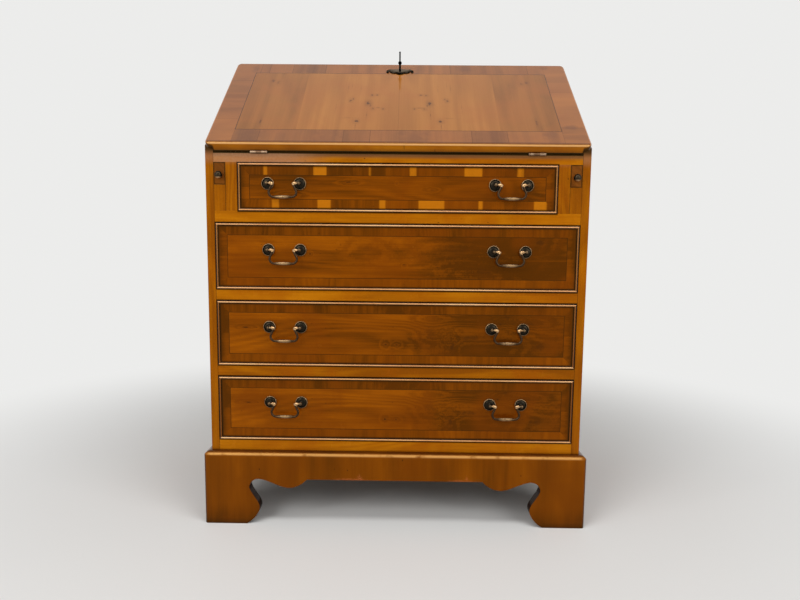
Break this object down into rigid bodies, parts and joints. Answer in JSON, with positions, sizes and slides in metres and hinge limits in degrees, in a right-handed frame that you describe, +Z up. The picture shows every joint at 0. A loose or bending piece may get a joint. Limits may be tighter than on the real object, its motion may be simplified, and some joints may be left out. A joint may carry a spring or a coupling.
{
  "type": "slant-front writing desk",
  "caption": "Slant-front writing desk with a sloping fall on hinges, pull-out lopers, bail-handled drawers, a locked compartment with pigeonholes, and a plinth with bracket feet.",
  "frame": {"origin": "centre of the overall box at floor level", "axes": "+X to the viewer's right, +Y to the back, +Z up"},
  "size_m": [0.7886, 0.4516, 1.0105],
  "materials": {
    "carcase_veneer": "amber yew veneer, lacquered",
    "fall_veneer": "book-matched yew veneer, lacquered",
    "drawer_veneer": "crossbanded yew veneer, lacquered",
    "plinth_veneer": "upright yew veneer, lacquered",
    "bead_wood": "stained bead, lacquered",
    "carcase_wood": "plain hardwood, oiled",
    "drawer_lining": "pale drawer linings, waxed",
    "nest_wood": "thin boards, lacquered",
    "back_ply": "plain board, unfinished",
    "writing_leather": "tooled leather",
    "antique_brass": "darkened, rubbed bright on edges",
    "hinge_brass": "brushed",
    "dark_bronze": "dark bronze",
    "black_iron": "blackened"
  },
  "bodies": {
    "carcase": {"left_gable": "carcase_veneer", "right_gable": "carcase_veneer", "top_board": "carcase_veneer", "top_dowels": "carcase_wood", "writing_board": "carcase_veneer", "bottom_board": "carcase_veneer", "back_panel": "back_ply", "drawer_rails": "carcase_veneer", "drawer_runners": "carcase_wood", "drawer_stops": "carcase_wood", "loper_partitions": "carcase_veneer", "loper_carriers": "carcase_veneer", "plinth_front": "plinth_veneer", "plinth_left": "plinth_veneer", "plinth_right": "plinth_veneer", "plinth_back": "carcase_wood", "plinth_blocks": "carcase_wood", "hinge_bed_leaves": "hinge_brass", "hinge_pins": "hinge_brass", "strike_plate": "hinge_brass", "nest_shelf": "nest_wood", "nest_uprights": "nest_wood"},
    "fall": {"fall_panel": "fall_veneer", "fall_leather": "writing_leather", "hinge_fall_leaves": "hinge_brass", "escutcheon": "dark_bronze", "lock_case": "hinge_brass"},
    "key": {"key": "black_iron"},
    "lock_bolt": {"lock_bolt": "hinge_brass"},
    "loper_left": {"loper_left": "carcase_wood", "loper_knob_left": "antique_brass"},
    "loper_right": {"loper_right": "carcase_wood", "loper_knob_right": "antique_brass"},
    "drawer_1": {"drawer_1_front": "drawer_veneer", "drawer_1_cock_bead": "bead_wood", "drawer_1_box": "drawer_lining", "drawer_1_handle_mounts": "antique_brass"},
    "drawer_1_bail_left": {"drawer_1_bail_left": "antique_brass"},
    "drawer_1_bail_right": {"drawer_1_bail_right": "antique_brass"},
    "drawer_2": {"drawer_2_front": "drawer_veneer", "drawer_2_cock_bead": "bead_wood", "drawer_2_box": "drawer_lining", "drawer_2_handle_mounts": "antique_brass"},
    "drawer_2_bail_left": {"drawer_2_bail_left": "antique_brass"},
    "drawer_2_bail_right": {"drawer_2_bail_right": "antique_brass"},
    "drawer_3": {"drawer_3_front": "drawer_veneer", "drawer_3_cock_bead": "bead_wood", "drawer_3_box": "drawer_lining", "drawer_3_handle_mounts": "antique_brass"},
    "drawer_3_bail_left": {"drawer_3_bail_left": "antique_brass"},
    "drawer_3_bail_right": {"drawer_3_bail_right": "antique_brass"},
    "drawer_4": {"drawer_4_front": "drawer_veneer", "drawer_4_cock_bead": "bead_wood", "drawer_4_box": "drawer_lining", "drawer_4_handle_mounts": "antique_brass"},
    "drawer_4_bail_left": {"drawer_4_bail_left": "antique_brass"},
    "drawer_4_bail_right": {"drawer_4_bail_right": "antique_brass"},
    "nest_drawer_left": {"nest_drawer_left": "nest_wood"},
    "nest_drawer_right": {"nest_drawer_right": "nest_wood"}
  },
  "joints": [
    {"name": "fall_hinge", "type": "hinge", "parent": "carcase", "child": "fall", "pos_m": [0, -0.2107, 0.762], "axis": [1, 0, 0], "range_deg": [0, 138.8]},
    {"name": "key_turn", "type": "hinge", "parent": "fall", "child": "key", "pos_m": [0, 0.00219, 0.97495], "axis": [0, -0.6587, 0.7524], "range_deg": [0, 90]},
    {"name": "lock_bolt_slide", "type": "slide", "parent": "fall", "child": "lock_bolt", "axis": [0, 0.7524, 0.6587], "range_m": [0, 0.008]},
    {"name": "loper_left_slide", "type": "slide", "parent": "carcase", "child": "loper_left", "axis": [0, -1, 0], "range_m": [0, 0.26]},
    {"name": "loper_right_slide", "type": "slide", "parent": "carcase", "child": "loper_right", "axis": [0, -1, 0], "range_m": [0, 0.26]},
    {"name": "drawer_1_slide", "type": "slide", "parent": "carcase", "child": "drawer_1", "axis": [0, -1, 0], "range_m": [0, 0.27]},
    {"name": "drawer_1_bail_left_swing", "type": "hinge", "parent": "drawer_1", "child": "drawer_1_bail_left", "pos_m": [-0.2255, -0.2222, 0.70075], "axis": [-1, 0, 0], "range_deg": [0, 110]},
    {"name": "drawer_1_bail_right_swing", "type": "hinge", "parent": "drawer_1", "child": "drawer_1_bail_right", "pos_m": [0.2255, -0.2222, 0.70075], "axis": [-1, 0, 0], "range_deg": [0, 110]},
    {"name": "drawer_2_slide", "type": "slide", "parent": "carcase", "child": "drawer_2", "axis": [0, -1, 0], "range_m": [0, 0.27]},
    {"name": "drawer_2_bail_left_swing", "type": "hinge", "parent": "drawer_2", "child": "drawer_2_bail_left", "pos_m": [-0.2255, -0.2222, 0.56975], "axis": [-1, 0, 0], "range_deg": [0, 110]},
    {"name": "drawer_2_bail_right_swing", "type": "hinge", "parent": "drawer_2", "child": "drawer_2_bail_right", "pos_m": [0.2255, -0.2222, 0.56975], "axis": [-1, 0, 0], "range_deg": [0, 110]},
    {"name": "drawer_3_slide", "type": "slide", "parent": "carcase", "child": "drawer_3", "axis": [0, -1, 0], "range_m": [0, 0.27]},
    {"name": "drawer_3_bail_left_swing", "type": "hinge", "parent": "drawer_3", "child": "drawer_3_bail_left", "pos_m": [-0.2255, -0.2222, 0.41325], "axis": [-1, 0, 0], "range_deg": [0, 110]},
    {"name": "drawer_3_bail_right_swing", "type": "hinge", "parent": "drawer_3", "child": "drawer_3_bail_right", "pos_m": [0.2255, -0.2222, 0.41325], "axis": [-1, 0, 0], "range_deg": [0, 110]},
    {"name": "drawer_4_slide", "type": "slide", "parent": "carcase", "child": "drawer_4", "axis": [0, -1, 0], "range_m": [0, 0.27]},
    {"name": "drawer_4_bail_left_swing", "type": "hinge", "parent": "drawer_4", "child": "drawer_4_bail_left", "pos_m": [-0.2255, -0.2222, 0.25675], "axis": [-1, 0, 0], "range_deg": [0, 110]},
    {"name": "drawer_4_bail_right_swing", "type": "hinge", "parent": "drawer_4", "child": "drawer_4_bail_right", "pos_m": [0.2255, -0.2222, 0.25675], "axis": [-1, 0, 0], "range_deg": [0, 110]},
    {"name": "nest_drawer_left_slide", "type": "slide", "parent": "carcase", "child": "nest_drawer_left", "axis": [0, -1, 0], "range_m": [0, 0.12]},
    {"name": "nest_drawer_right_slide", "type": "slide", "parent": "carcase", "child": "nest_drawer_right", "axis": [0, -1, 0], "range_m": [0, 0.12]}
  ],
  "couplings": [
    {"joint": "lock_bolt_slide", "follows": "key_turn", "m_per_rad": 0.00509}
  ]
}
